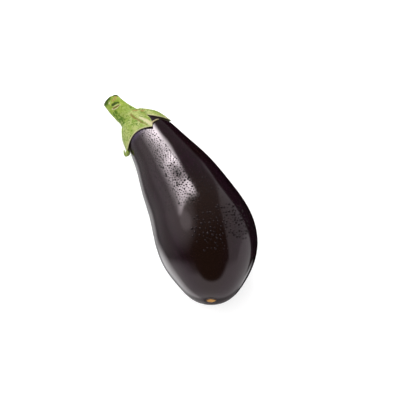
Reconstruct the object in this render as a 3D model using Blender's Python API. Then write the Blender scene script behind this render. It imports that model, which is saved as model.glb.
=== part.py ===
"""A picked eggplant, lying on its side on a small flat spot under its weight.

The frame has +Z up and the floor at z = 0. +X runs from the cut stem towards the blossom end, and the
origin is at the bottom centre of the whole object's box. Everything is shaped along one bowed
centreline: the fruit is a skin of round sections on it, the calyx is a cap that follows the fruit's
shoulder and runs into the stem, and the blossom scar is a corky button in the far end.

A place on the fruit is given by a share of the centreline, 0 at the shoulder and 1 at the blossom
end, and by an angle round it: 0 degrees faces +Y, 90 faces up and 180 faces -Y.
"""

import math
from collections import namedtuple

import bmesh
import bpy
import numpy as np
from mathutils import Matrix, Vector

MM = 0.001

# The fruit.
FRUIT_LENGTH = 197.6 * MM
# Share of the centreline, and the section's radius there in millimetres.
FRUIT_RADII = (
    (0.03, 15.8),
    (0.10, 22.8),
    (0.22, 27.9),
    (0.36, 34.6),
    (0.50, 39.1),
    (0.64, 43.5),
    (0.78, 40.9),
    (0.90, 29.0),
    (0.97, 17.7),
)
SHOULDER_HEADING = 11.7
BLOSSOM_HEADING = -25.3
BEND_POWER = 1.26
FLUTES = 5
FLUTE_DEPTH = 0.016
FLUTE_REACH = 0.5
SIDE_SWELL = 0.008
SIDE_LEAN = 0.059
FRUIT_RINGS = 46
FRUIT_SIDES = 56
CENTRELINE_STEPS = 400

# How it lies.
NECK_DIP = 8.7
FLAT_DEPTH = 0.5 * MM

# The blossom scar and the dimple that holds it.
DIMPLE_RADIUS = 9.0 * MM
DIMPLE_DEPTH = 0.9 * MM
SOCKET_RADIUS = 4.6 * MM
SOCKET_DEPTH = 1.0 * MM
SCAR_RADIUS = 4.1 * MM
SCAR_RISE = 0.35 * MM
SCAR_SIDES = 28

# The calyx: each lobe's angle in degrees, its reach over the skin from the shoulder's middle in
# millimetres, how far its tip curls up off the skin, and how thick it is where it leaves the flare.
LOBES = (
    (186.0, 39.0, 4.4, 5.6),
    (91.0, 39.6, 0.8, 4.2),
    (10.0, 31.0, 0.9, 2.9),
    (312.0, 33.0, 0.2, 4.0),
    (245.0, 34.0, 0.2, 4.2),
)
# The notch that follows each lobe, in the same order: angle, reach, and the power that shapes both of
# its flanks. Above 1 it is a round bay, and below 1 a sharp cleft.
NOTCHES = (
    (136.0, 31.8, 2.2),
    (77.0, 16.0, 0.42),
    (341.0, 23.0, 1.6),
    (278.0, 24.0, 1.6),
    (215.0, 26.0, 1.7),
)
COLUMNS_PER_FLANK = 7
NECK_RADIUS = 24.0
FLARE_REACH = 17.0 * MM
FLARE_SHARE = 0.75
FLARE_PULL = 9.0 * MM
FOOT_BULGE = 2.0
SKIN_GAP = 0.45 * MM
NOTCH_THICKNESS = 4.0 * MM
EDGE_THICKNESS = 0.8 * MM
KEEL_RISE = 0.9 * MM
UNDERSIDE_SHARE = 0.45

# The stem: how far it stands out of the shoulder, its radii, and how it bends on from the fruit.
STEM_LENGTH = 37.4 * MM
STEM_TIP_RADIUS = 7.5 * MM
STEM_FOOT_RADIUS = 11.8 * MM
STEM_FOOT_HEADING = 35.0
STEM_TIP_HEADING = 12.0
STEM_RISE = 9.0
STEM_RIDGE = 0.045
STEM_RIM = 0.7 * MM
STEM_FOOT = 14 * MM

STEM_RINGS = 8
FLARE_RINGS = 7
LOBE_RINGS = 8
LINING_RINGS = 10

SKIN_COLOUR = (0.022, 0.009, 0.017)
CALYX_COLOUR = (0.27, 0.38, 0.10)
SCAR_COLOUR = (0.56, 0.32, 0.11)


def spline_through(points):
    """A curve through (x, y) points, as a function of x, whose bend changes smoothly all along it."""
    xs, ys = (np.array(values, float) for values in zip(*points))
    count = len(xs)
    steps = np.diff(xs)
    slopes = np.diff(ys) / steps
    system = np.eye(count)
    wanted = np.zeros(count)
    for i in range(1, count - 1):
        system[i, i - 1 : i + 2] = steps[i - 1], 2 * (steps[i - 1] + steps[i]), steps[i]
        wanted[i] = 6 * (slopes[i] - slopes[i - 1])
    bends = np.linalg.solve(system, wanted)

    def at(x):
        i = int(np.clip(np.searchsorted(xs, x) - 1, 0, count - 2))
        h, left, right = steps[i], xs[i + 1] - x, x - xs[i]
        bent = (bends[i] * left**3 + bends[i + 1] * right**3) / (6 * h)
        return bent + (ys[i] / h - bends[i] * h / 6) * left + (ys[i + 1] / h - bends[i + 1] * h / 6) * right

    return at


def turn_of(share):
    """The share of the centreline as an angle from 0 to pi, which opens both domed ends out."""
    return math.acos(1 - 2 * min(max(share, 0.0), 1.0))


RADIUS_AT_TURN = spline_through(
    [(0.0, 0.0), *((turn_of(share), radius * MM) for share, radius in FRUIT_RADII), (math.pi, 0.0)]
)


def heading_at(share):
    """The centreline's direction in the level plane, in radians from +X towards +Y."""
    return math.radians(SHOULDER_HEADING + (BLOSSOM_HEADING - SHOULDER_HEADING) * share**BEND_POWER)


def centreline():
    """Places along the fruit's centreline from the shoulder, as an array of shares and one of points."""
    shares = np.linspace(0, 1, CENTRELINE_STEPS + 1)
    middles = (shares[:-1] + shares[1:]) / 2
    headings = np.array([heading_at(share) for share in middles])
    steps = np.column_stack([np.cos(headings), np.sin(headings)]) * FRUIT_LENGTH / CENTRELINE_STEPS
    return shares, np.vstack([[0, 0], np.cumsum(steps, axis=0)])


SHARES, LINE = centreline()


def radius_at(share, angle):
    """The section's radius: round, with flutes that fade away from the neck and a belly that leans to +Y."""
    plain = max(RADIUS_AT_TURN(turn_of(share)), 0.0)
    fade = max(0.0, 1 - share / FLUTE_REACH) ** 2
    flutes = FLUTE_DEPTH * fade * math.cos(FLUTES * angle + 0.6)
    swell = SIDE_SWELL * math.sin(3 * angle + 4 * share) * math.sin(math.pi * share)
    lean = SIDE_LEAN * math.sin(2 * math.pi * share) * math.cos(angle)
    return plain * (1 + flutes + swell - lean)


def fruit_point(share, angle, lift=0.0):
    """A point over the fruit's skin, lifted off it along the section's radius and the dome's slope."""
    x, y = (np.interp(share, SHARES, LINE[:, k]) for k in (0, 1))
    heading = heading_at(share)
    along = Vector((math.cos(heading), math.sin(heading), 0))
    side = Vector((-math.sin(heading), math.cos(heading), 0))
    out = side * math.cos(angle) + Vector((0, 0, math.sin(angle)))
    step = 0.002
    low, high = max(share - step, 0.0), min(share + step, 1.0)
    rise = radius_at(high, angle) - radius_at(low, angle)
    run = (high - low) * FRUIT_LENGTH
    normal = (out * run - along * rise).normalized()
    return Vector((x, y, 0)) + out * radius_at(share, angle) + normal * lift


def reach_to_share():
    """The share of the centreline at each distance over the skin from the shoulder's middle."""
    shares = np.linspace(0, 0.5, 600)
    radii = np.array([RADIUS_AT_TURN(turn_of(share)) for share in shares])
    steps = np.hypot(np.diff(radii), np.diff(shares) * FRUIT_LENGTH)
    return np.concatenate([[0], np.cumsum(steps)]), shares


REACHES, REACH_SHARES = reach_to_share()


def shoulder_point(reach, angle, lift):
    return fruit_point(float(np.interp(reach, REACHES, REACH_SHARES)), angle, lift)


def smoothstep(t):
    t = min(max(t, 0.0), 1.0)
    return t * t * (3 - 2 * t)


def mesh_of_rings(rings, first=None, last=None):
    """A closed mesh through rings of equal count, each end closed by a fan to a point or by one face."""
    mesh = bmesh.new()
    loops = []
    for ring in rings:
        loops.append([mesh.verts.new(point) for point in ring])
    count = len(loops[0])
    for near, far in zip(loops, loops[1:]):
        for k in range(count):
            n = (k + 1) % count
            mesh.faces.new((near[k], near[n], far[n], far[k]))
    for loop, tip, turned in ((loops[0], first, True), (loops[-1], last, False)):
        ordered = loop[::-1] if turned else loop
        if tip is None:
            mesh.faces.new(ordered)
            continue
        middle = mesh.verts.new(tip)
        for k in range(count):
            mesh.faces.new((ordered[k], ordered[(k + 1) % count], middle))
    bmesh.ops.recalc_face_normals(mesh, faces=mesh.faces)
    return mesh


def fruit_rings():
    """Sections of the fruit from shoulder to blossom end, closer together near both ends."""
    rings = []
    for i in range(1, FRUIT_RINGS):
        share = 0.5 - 0.5 * math.cos(math.pi * i / FRUIT_RINGS)
        rings.append([dimpled(share, 2 * math.pi * k / FRUIT_SIDES) for k in range(FRUIT_SIDES)])
    return rings


def blossom_end():
    """The blossom end's point on the centreline, and the way that it faces."""
    heading = heading_at(1.0)
    return Vector((*LINE[-1], 0)), Vector((math.cos(heading), math.sin(heading), 0))


def dimpled(share, angle):
    """A point on the skin, sunk where it nears the blossom scar."""
    point = fruit_point(share, angle)
    end, facing = blossom_end()
    offset = point - end
    across = (offset - facing * offset.dot(facing)).length
    return point - facing * DIMPLE_DEPTH * math.exp(-((across / DIMPLE_RADIUS) ** 2)) * smoothstep(share * 4 - 3)


def end_disc(radius, depth, sides=FRUIT_SIDES):
    """A ring about the blossom end's axis, sunk below the end by a depth."""
    end, facing = blossom_end()
    side = Vector((0, 0, 1)).cross(facing)
    points = []
    for k in range(sides):
        angle = 2 * math.pi * k / sides
        out = side * math.cos(angle) + Vector((0, 0, math.sin(angle)))
        points.append(end + out * radius - facing * depth)
    return points


def make_fruit():
    """The fruit: one solid, with a socket in its blossom end for the scar."""
    rings = [ring for ring in fruit_rings() if (ring[0] - ring[FRUIT_SIDES // 2]).length > 2.4 * SOCKET_RADIUS]
    rings.append(end_disc(SOCKET_RADIUS, DIMPLE_DEPTH + 0.15 * MM))
    rings.append(end_disc(SOCKET_RADIUS, DIMPLE_DEPTH + SOCKET_DEPTH))
    end, facing = blossom_end()
    return mesh_of_rings(rings, first=fruit_point(0.0, 0.0), last=end - facing * (DIMPLE_DEPTH + SOCKET_DEPTH))


def make_scar():
    """The blossom scar: a low corky button, a little uneven round its rim and domed on top."""
    floor = DIMPLE_DEPTH + SOCKET_DEPTH - SKIN_GAP
    crown = DIMPLE_DEPTH - SCAR_RISE
    rings = []
    for share, depth in ((1.0, floor), (1.0, crown + 0.45 * MM), (0.86, crown + 0.12 * MM), (0.45, crown)):
        ring = end_disc(SCAR_RADIUS * share, depth, SCAR_SIDES)
        end, facing = blossom_end()
        centre = end - facing * depth
        for k, point in enumerate(ring):
            wave = 1 - 0.05 * (1 + math.sin(3 * 2 * math.pi * k / SCAR_SIDES + 1.0))
            ring[k] = centre + (point - centre) * wave
        rings.append(ring)
    return mesh_of_rings(rings)


# One column of the calyx's mesh: where it meets the edge, how near it is to a midrib (1) or a notch (0),
# its lobe's curl and thickness, and its angle on the stem.
Column = namedtuple("Column", "edge_angle reach keel curl thickness stem_angle")


def calyx_outline():
    """The calyx's edge, as the columns of its mesh, spaced evenly along it so that tips stay pointed."""
    columns = []
    for i, lobe in enumerate(LOBES):
        for notch, outward in ((NOTCHES[i - 1], False), (NOTCHES[i], True)):
            columns += flank(lobe, notch, outward)
    return columns


def flank(lobe, notch, outward):
    """The columns from a notch to a lobe's tip, or onward from the tip to the next notch."""
    tip_angle, tip_reach, curl, thickness = lobe
    notch_angle, notch_reach, power = notch
    turn = (tip_angle - notch_angle + 180) % 360 - 180
    samples = np.linspace(0, 1, 200)
    reaches = notch_reach + (tip_reach - notch_reach) * samples**power
    angles = notch_angle + turn * samples
    lengths = np.hypot(np.diff(reaches), np.radians(np.diff(angles)) * NECK_RADIUS)
    distance = np.concatenate([[0], np.cumsum(lengths)])
    found = []
    for k in range(COLUMNS_PER_FLANK):
        t = 1 - k / COLUMNS_PER_FLANK if outward else k / COLUMNS_PER_FLANK
        s = float(np.interp(t * distance[-1], distance, samples))
        reach = notch_reach + (tip_reach - notch_reach) * s**power
        edge_angle = math.radians(notch_angle + turn * s)
        stem_angle = math.radians(notch_angle + turn * t)
        found.append(Column(edge_angle, reach * MM, s, curl * MM, thickness * MM, stem_angle))
    return found


def stem_line(height):
    """A point on the stem's centreline at a height over the shoulder, and its way out, side and top."""
    steps = 24
    point = Vector((0, 0, 0))
    for i in range(steps):
        way = stem_way((i + 0.5) / steps * height / STEM_LENGTH)
        point = point + way * height / steps
    way = stem_way(height / STEM_LENGTH)
    side = Vector((0, 0, 1)).cross(-way).normalized()
    return point, way, side, (-way).cross(side)


def stem_way(share):
    heading = math.radians(STEM_FOOT_HEADING + (STEM_TIP_HEADING - STEM_FOOT_HEADING) * share)
    rise = math.radians(STEM_RISE * share)
    return Vector((-math.cos(heading) * math.cos(rise), -math.sin(heading) * math.cos(rise), math.sin(rise)))


def stem_point(height, column, inset=0.0):
    """A point on the stem's side, with low ridges that run on from the lobes' midribs."""
    centre, _, side, top = stem_line(height)
    share = min(height / STEM_LENGTH, 1.0)
    radius = STEM_FOOT_RADIUS + (STEM_TIP_RADIUS - STEM_FOOT_RADIUS) * share**0.8
    radius = radius * (1 + STEM_RIDGE * (2 * column.keel - 1)) - inset
    return centre + (side * math.cos(column.stem_angle) + top * math.sin(column.stem_angle)) * radius


def base_thickness(column):
    """How thick the calyx is where it leaves the flare."""
    return NOTCH_THICKNESS + (column.thickness - NOTCH_THICKNESS) * smoothstep(column.keel)


def lobe_lift(column, share):
    """How far the calyx's inner and outer faces stand off the skin, from its flare (0) to its edge (1)."""
    underside = smoothstep(-0.1 - 1.6 * math.sin(column.edge_angle))
    rise = KEEL_RISE * column.keel * (1 - share) ** 0.8
    thick = EDGE_THICKNESS + (base_thickness(column) - EDGE_THICKNESS) * (1 - share) ** 1.3 + rise
    thick = thick * (1 - (1 - UNDERSIDE_SHARE) * underside)
    inner = SKIN_GAP + column.curl * column.keel**3 * share**5
    return inner, inner + max(thick, EDGE_THICKNESS * 0.9)


def flare_end(column):
    """How far over the skin the flare reaches, short of the edge where a notch cuts deep."""
    return min(FLARE_REACH, FLARE_SHARE * column.reach)


def calyx_surface(column, share, outer):
    """A point on a lobe's outer or inner face, from the flare's end (0) to the lobe's edge (1)."""
    angle = column.stem_angle + (column.edge_angle - column.stem_angle) * smoothstep(share)
    inner_lift, outer_lift = lobe_lift(column, share)
    start = flare_end(column)
    return shoulder_point(start + (column.reach - start) * share, angle, outer_lift if outer else inner_lift)


def flare_point(column, t):
    """A point on the fillet from the stem's foot (0) to the flare's end (1): a Bezier curve."""
    thickness = base_thickness(column)
    start = stem_point(STEM_FOOT, column)
    below = stem_point(STEM_FOOT * 0.45, column, FOOT_BULGE * (NOTCH_THICKNESS - thickness))
    end = calyx_surface(column, 0.0, True)
    onward = (calyx_surface(column, 0.1, True) - end).normalized()
    before = end - onward * FLARE_PULL * thickness / NOTCH_THICKNESS
    u = 1 - t
    return start * u**3 + below * 3 * u * u * t + before * 3 * u * t * t + end * t**3


def make_calyx():
    """The calyx and stem, which grew as one: cut end, stem, flare, lobes, and the lining over the skin."""
    columns = calyx_outline()
    rings = []
    for height, inset in ((STEM_LENGTH, 3.4 * MM), (STEM_LENGTH, STEM_RIM)):
        rings.append([stem_point(height, column, inset) for column in columns])
    for i in range(STEM_RINGS):
        height = STEM_FOOT + (STEM_LENGTH - STEM_RIM - STEM_FOOT) * (1 - i / STEM_RINGS)
        rings.append([stem_point(height, column) for column in columns])
    for i in range(FLARE_RINGS):
        rings.append([flare_point(column, i / FLARE_RINGS) for column in columns])
    for i in range(LOBE_RINGS + 1):
        rings.append([calyx_surface(column, i / LOBE_RINGS, True) for column in columns])
    for i in range(LINING_RINGS + 1):
        rings.append([calyx_surface(column, 1 - i / LINING_RINGS, False) for column in columns])
    for share in (0.66, 0.33):
        rings.append([shoulder_point(flare_end(column) * share, column.stem_angle, SKIN_GAP) for column in columns])
    cut_centre = stem_line(STEM_LENGTH)[0]
    return mesh_of_rings(rings, first=cut_centre, last=shoulder_point(0.0, 0.0, SKIN_GAP))


def lie_down(meshes):
    """Dips the neck, cuts the flat spot, and sets the origin at the bottom centre of the box."""
    dip = Matrix.Rotation(math.radians(-NECK_DIP), 4, "Y")
    for mesh in meshes.values():
        mesh.transform(dip)
    fruit = meshes["fruit"]
    floor = min(vertex.co.z for vertex in fruit.verts) + FLAT_DEPTH
    geometry = [*fruit.verts, *fruit.edges, *fruit.faces]
    cut = bmesh.ops.bisect_plane(
        fruit, geom=geometry, plane_co=(0, 0, floor), plane_no=(0, 0, -1), clear_outer=True
    )
    rim = [edge for edge in cut["geom_cut"] if isinstance(edge, bmesh.types.BMEdge)]
    bmesh.ops.edgeloop_fill(fruit, edges=rim)
    bmesh.ops.recalc_face_normals(fruit, faces=fruit.faces)
    corners = np.array([vertex.co for mesh in meshes.values() for vertex in mesh.verts])
    low, high = corners.min(axis=0), corners.max(axis=0)
    shift = Vector((-(low[0] + high[0]) / 2, -(low[1] + high[1]) / 2, -floor))
    for mesh in meshes.values():
        mesh.transform(Matrix.Translation(shift))


def material(name, colour, roughness):
    made = bpy.data.materials.new(name)
    made.use_nodes = True
    shader = made.node_tree.nodes["Principled BSDF"]
    shader.inputs["Base Color"].default_value = (*colour, 1)
    shader.inputs["Roughness"].default_value = roughness
    shader.inputs["Metallic"].default_value = 0.0
    return made


def add_object(name, mesh, made_of):
    data = bpy.data.meshes.new(name)
    mesh.to_mesh(data)
    mesh.free()
    data.materials.append(made_of)
    data.shade_smooth()
    data.set_sharp_from_angle(angle=math.radians(50))
    bpy.context.scene.collection.objects.link(bpy.data.objects.new(name, data))


def main():
    for old in list(bpy.data.objects):
        bpy.data.objects.remove(old)
    meshes = {"fruit": make_fruit(), "calyx_and_stem": make_calyx(), "blossom_scar": make_scar()}
    lie_down(meshes)
    finishes = {
        "fruit": material("fruit_skin", SKIN_COLOUR, 0.2),
        "calyx_and_stem": material("calyx_green", CALYX_COLOUR, 0.6),
        "blossom_scar": material("scar_cork", SCAR_COLOUR, 0.9),
    }
    for name, mesh in meshes.items():
        add_object(name, mesh, finishes[name])


main()
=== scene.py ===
"""The looks of a picked eggplant that lies on its side: skin, calyx and stem, blossom scar, water drops.

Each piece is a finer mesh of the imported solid's own form, from the same driving dimensions. A place on
the fruit is a share of its centreline, 0 at the shoulder and 1 at the blossom end, and an angle round
it: 0 degrees faces +Y, 90 faces up and 180 faces -Y. A place on the calyx is an angle and a reach over
the skin from the shoulder's middle, and a place on the stem is an angle and a height.
"""

import math

import bpy
import numpy as np
from mathutils import Matrix, Vector, noise


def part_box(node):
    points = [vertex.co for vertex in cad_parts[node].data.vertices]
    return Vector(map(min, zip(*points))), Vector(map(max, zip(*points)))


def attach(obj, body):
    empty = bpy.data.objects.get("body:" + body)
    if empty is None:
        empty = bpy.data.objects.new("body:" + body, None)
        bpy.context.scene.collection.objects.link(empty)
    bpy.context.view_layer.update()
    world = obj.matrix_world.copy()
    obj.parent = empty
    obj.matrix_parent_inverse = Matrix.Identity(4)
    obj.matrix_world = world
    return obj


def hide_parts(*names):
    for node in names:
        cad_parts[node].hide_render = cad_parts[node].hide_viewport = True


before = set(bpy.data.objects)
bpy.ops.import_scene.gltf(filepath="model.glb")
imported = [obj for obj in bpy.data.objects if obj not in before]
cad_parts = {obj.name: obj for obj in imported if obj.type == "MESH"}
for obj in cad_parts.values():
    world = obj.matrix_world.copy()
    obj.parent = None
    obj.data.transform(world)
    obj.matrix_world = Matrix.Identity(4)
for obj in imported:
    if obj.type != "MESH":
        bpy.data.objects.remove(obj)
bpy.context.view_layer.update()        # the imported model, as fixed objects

MM = 0.001

# The fruit and how it lies, as in the solids.
FRUIT_LENGTH = 197.6 * MM
FRUIT_RADII = (
    (0.03, 15.8),
    (0.10, 22.8),
    (0.22, 27.9),
    (0.36, 34.6),
    (0.50, 39.1),
    (0.64, 43.5),
    (0.78, 40.9),
    (0.90, 29.0),
    (0.97, 17.7),
)
SHOULDER_HEADING = 11.7
BLOSSOM_HEADING = -25.3
BEND_POWER = 1.26
FLUTES = 5
FLUTE_DEPTH = 0.016
FLUTE_REACH = 0.5
SIDE_SWELL = 0.008
SIDE_LEAN = 0.059
CENTRELINE_STEPS = 400
NECK_DIP = 8.7

# The blossom scar and its dimple. The button is lower than it is wide, and its ends are a little pointed.
DIMPLE_RADIUS = 9.0 * MM
DIMPLE_DEPTH = 0.9 * MM
GROOVE_WIDTH = 0.9 * MM
GROOVE_DEPTH = 0.35 * MM
SOCKET_DEPTH = 1.0 * MM
SCAR_RADIUS = 4.1 * MM
SCAR_RISE = 0.35 * MM
SCAR_HEIGHT_SHARE = 0.74
SCAR_OUTLINE_POWER = 1.4
SCAR_SINK = 0.25 * MM
PIT_DEPTH = 0.35 * MM
PIT_SHARE = 0.25
# The scar's crumbs: size and height in mm, and the seed of the noise.
CRUMBS = ((0.9, 0.16, 5), (0.35, 0.06, 6))

# The calyx: lobes (angle, reach, curl of the tip, thickness) and the notch after each (angle, reach, power).
LOBES = (
    (186.0, 37.4, 4.4, 5.6),
    (91.0, 39.6, 0.8, 4.2),
    (10.0, 31.0, 0.9, 2.9),
    (312.0, 33.0, 0.2, 4.0),
    (245.0, 34.0, 0.2, 4.2),
)
NOTCHES = (
    (136.0, 31.8, 2.2),
    (77.0, 16.0, 0.42),
    (341.0, 23.0, 1.6),
    (278.0, 24.0, 1.6),
    (215.0, 26.0, 1.7),
)
NECK_RADIUS = 24.0
# The right-hand lobe's upper margin stands out further, by at most this many mm.
FULLER_LOBE = 2
FULLER_FLANK = 4.5
EDGE_SAMPLES = 400
FLARE_REACH = 17.0 * MM
FLARE_SHARE = 0.75
FLARE_PULL = 9.0 * MM
FOOT_BULGE = 2.0
SKIN_GAP = 0.45 * MM
NOTCH_THICKNESS = 4.0 * MM
EDGE_THICKNESS = 0.8 * MM
KEEL_RISE = 0.9 * MM
UNDERSIDE_SHARE = 0.45

# The stem.
STEM_LENGTH = 37.4 * MM
STEM_TIP_RADIUS = 7.5 * MM
STEM_FOOT_RADIUS = 11.8 * MM
STEM_FOOT_HEADING = 35.0
STEM_TIP_HEADING = 12.0
STEM_RISE = 9.0
STEM_RIDGE = 0.045
STEM_RIM = 0.7 * MM
STEM_FOOT = 14 * MM
STEM_STEPS = 200
CUT_INSETS = (6.6, 5.0, 3.4, 2.0, 1.1)

# How fine the meshes are.
FRUIT_RINGS = 270
FRUIT_SIDES = 240
FLANK_COLUMNS = 34
STEM_RINGS = 100
FLARE_RINGS = 26
LOBE_RINGS = 48
EDGE_RINGS = 5
LINING_RINGS = 16
SCAR_SIDES = 96
SCAR_SHARES = np.linspace(1, 0.05, 22)

# The camera: how it looks at the middle of the fruit's length, and the photograph's framing.
CAMERA_TILT = 22.5
CAMERA_TURN = -24.0
CAMERA_DISTANCE = 1.05
FOCAL_LENGTH_IN_PIXELS = 1196.0
FRAME_PIXELS = 400.0
SENSOR_WIDTH = 36.0
FRAMING_PIXELS = (18.2, 4.8)

SEED = 11


def spline_through(points):
    """A curve through (x, y) points, as a function of x, whose bend changes smoothly all along it."""
    xs, ys = (np.array(values, float) for values in zip(*points))
    count = len(xs)
    steps = np.diff(xs)
    slopes = np.diff(ys) / steps
    system = np.eye(count)
    wanted = np.zeros(count)
    for i in range(1, count - 1):
        system[i, i - 1 : i + 2] = steps[i - 1], 2 * (steps[i - 1] + steps[i]), steps[i]
        wanted[i] = 6 * (slopes[i] - slopes[i - 1])
    bends = np.linalg.solve(system, wanted)

    def at(x):
        i = np.clip(np.searchsorted(xs, x) - 1, 0, count - 2)
        h, left, right = steps[i], xs[i + 1] - x, x - xs[i]
        bent = (bends[i] * left**3 + bends[i + 1] * right**3) / (6 * h)
        return bent + (ys[i] / h - bends[i] * h / 6) * left + (ys[i + 1] / h - bends[i + 1] * h / 6) * right

    return at


def turn_of(share):
    return np.arccos(1 - 2 * np.clip(share, 0, 1))


RADIUS_AT_TURN = spline_through(
    [(0.0, 0.0), *((float(turn_of(share)), radius * MM) for share, radius in FRUIT_RADII), (math.pi, 0.0)]
)


def smoothstep(t):
    t = np.clip(t, 0, 1)
    return t * t * (3 - 2 * t)


def bump(distance, width):
    """1 at no distance, falling smoothly to 0 over a few widths."""
    return np.exp(-((distance / width) ** 2))


def heading_at(share):
    return np.radians(SHOULDER_HEADING + (BLOSSOM_HEADING - SHOULDER_HEADING) * share**BEND_POWER)


def centreline():
    shares = np.linspace(0, 1, CENTRELINE_STEPS + 1)
    headings = heading_at((shares[:-1] + shares[1:]) / 2)
    steps = np.column_stack([np.cos(headings), np.sin(headings)]) * FRUIT_LENGTH / CENTRELINE_STEPS
    return shares, np.vstack([[0, 0], np.cumsum(steps, axis=0)])


SHARES, LINE = centreline()


def radius_at(share, angle):
    fade = np.maximum(0, 1 - share / FLUTE_REACH) ** 2
    flutes = FLUTE_DEPTH * fade * np.cos(FLUTES * angle + 0.6)
    swell = SIDE_SWELL * np.sin(3 * angle + 4 * share) * np.sin(math.pi * share)
    lean = SIDE_LEAN * np.sin(2 * math.pi * share) * np.cos(angle)
    return np.maximum(RADIUS_AT_TURN(turn_of(share)), 0) * (1 + flutes + swell - lean)


def skin_frame(share, angle):
    """A point on the smooth skin and the way straight out of it, for arrays of shares and angles."""
    share, angle = np.broadcast_arrays(np.asarray(share, float), np.asarray(angle, float))
    heading = heading_at(share)
    flat = np.zeros_like(share)
    along = np.stack([np.cos(heading), np.sin(heading), flat], axis=-1)
    side = np.stack([-np.sin(heading), np.cos(heading), flat], axis=-1)
    up = np.array([0.0, 0.0, 1.0])
    out = side * np.cos(angle)[..., None] + up * np.sin(angle)[..., None]
    ahead, aside = np.interp(share, SHARES, LINE[:, 0]), np.interp(share, SHARES, LINE[:, 1])
    centre = np.stack([ahead, aside, flat], axis=-1)
    step = 0.002
    low, high = np.maximum(share - step, 0), np.minimum(share + step, 1)
    rise = (radius_at(high, angle) - radius_at(low, angle))[..., None]
    run = ((high - low) * FRUIT_LENGTH)[..., None]
    normal = out * run - along * rise
    normal /= np.linalg.norm(normal, axis=-1, keepdims=True)
    return centre + out * radius_at(share, angle)[..., None], normal


def over_skin(share, angle, lift):
    point, normal = skin_frame(share, angle)
    return point + normal * np.asarray(lift)[..., None]


def reach_to_share():
    shares = np.linspace(0, 0.5, 600)
    radii = RADIUS_AT_TURN(turn_of(shares))
    steps = np.hypot(np.diff(radii), np.diff(shares) * FRUIT_LENGTH)
    return np.concatenate([[0], np.cumsum(steps)]), shares


REACHES, REACH_SHARES = reach_to_share()


def over_shoulder(reach, angle, lift):
    return over_skin(np.interp(reach, REACHES, REACH_SHARES), angle, lift)


DIP = np.array(Matrix.Rotation(math.radians(-NECK_DIP), 3, "Y"))


def resting_shift():
    """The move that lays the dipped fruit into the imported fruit's box."""
    shares = 0.5 - 0.5 * np.cos(np.linspace(0, math.pi, 200))
    angles = np.linspace(0, 2 * math.pi, 240)
    points, _ = skin_frame(shares[:, None], angles[None, :])
    points = (points @ DIP.T).reshape(-1, 3)
    low, high = points.min(axis=0), points.max(axis=0)
    box_low, box_high = (np.array(corner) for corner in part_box("fruit"))
    middle = (box_low + box_high - low - high) / 2
    return np.array([middle[0], middle[1], box_high[2] - high[2]])


SHIFT = resting_shift()


def lying(points):
    """Points of the level fruit, dipped and moved to where it lies."""
    return np.asarray(points) @ DIP.T + SHIFT


def ripple(points, size, seed):
    """Smooth noise from -1 to 1 at each point, with features about as wide as size."""
    flat = np.asarray(points).reshape(-1, 3) / size + seed * 17.3
    values = [noise.noise(Vector(point)) for point in flat]
    return np.array(values).reshape(np.shape(points)[:-1])


def mesh_object(name, points, faces):
    mesh = bpy.data.meshes.new(name)
    mesh.from_pydata(points, [], faces)
    mesh.validate()
    mesh.shade_smooth()
    piece = bpy.data.objects.new(name, mesh)
    bpy.context.scene.collection.objects.link(piece)
    return piece


def grid_object(name, rings, first, last, attributes=None):
    """A closed mesh over rings of points, an array of (ring, column, xyz), closed by a fan at each end."""
    ring_count, column_count, _ = rings.shape
    index = np.arange(ring_count * column_count).reshape(ring_count, column_count)
    near, far = index[:-1], index[1:]
    quads = np.stack([near, np.roll(near, -1, 1), np.roll(far, -1, 1), far], axis=-1).reshape(-1, 4)
    faces = [tuple(quad) for quad in quads.tolist()]
    for loop, middle in ((index[0][::-1], index.size), (index[-1], index.size + 1)):
        faces += [(int(a), int(b), middle) for a, b in zip(loop, np.roll(loop, -1))]
    points = np.vstack([rings.reshape(-1, 3), first, last])
    piece = mesh_object(name, points.tolist(), faces)
    for key, values in (attributes or {}).items():
        flat = np.broadcast_to(values, (ring_count, column_count)).reshape(-1)
        layer = piece.data.attributes.new(key, "FLOAT", "POINT")
        layer.data.foreach_set("value", np.append(flat, [flat[0], flat[-1]]).astype(np.float32))
    face_out(piece)
    return piece


def face_out(piece):
    """Turns the faces of a closed mesh outwards, if they point in."""
    mesh = piece.data
    mesh.calc_loop_triangles()
    volume = 0.0
    for triangle in mesh.loop_triangles:
        a, b, c = (mesh.vertices[i].co for i in triangle.vertices)
        volume += a.dot(b.cross(c))
    if volume < 0:
        mesh.flip_normals()


# The fruit. Its skin is violet in the calyx's shade. Between two lobes next to the calyx its gloss is dulled:
# painted shade, where the calyx's shadow falls.
SHADE_REACH = 8.0 * MM
SHADE_ANGLE = math.radians(130)
SHADE_WIDTH = math.radians(26)
# Where the painted shade dulls the skin's gloss: near the calyx, between two lobes.
CLEFT_SHARE = 0.090
CLEFT_FADE = 0.02
CLEFT_ANGLE = math.radians(76)
CLEFT_WIDTH = math.radians(22)
WAVE_SIZE = 26 * MM
WAVE_HEIGHT = 0.16 * MM
STREAK_SIZE = 5 * MM
STREAK_HEIGHT = 0.022 * MM


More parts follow.
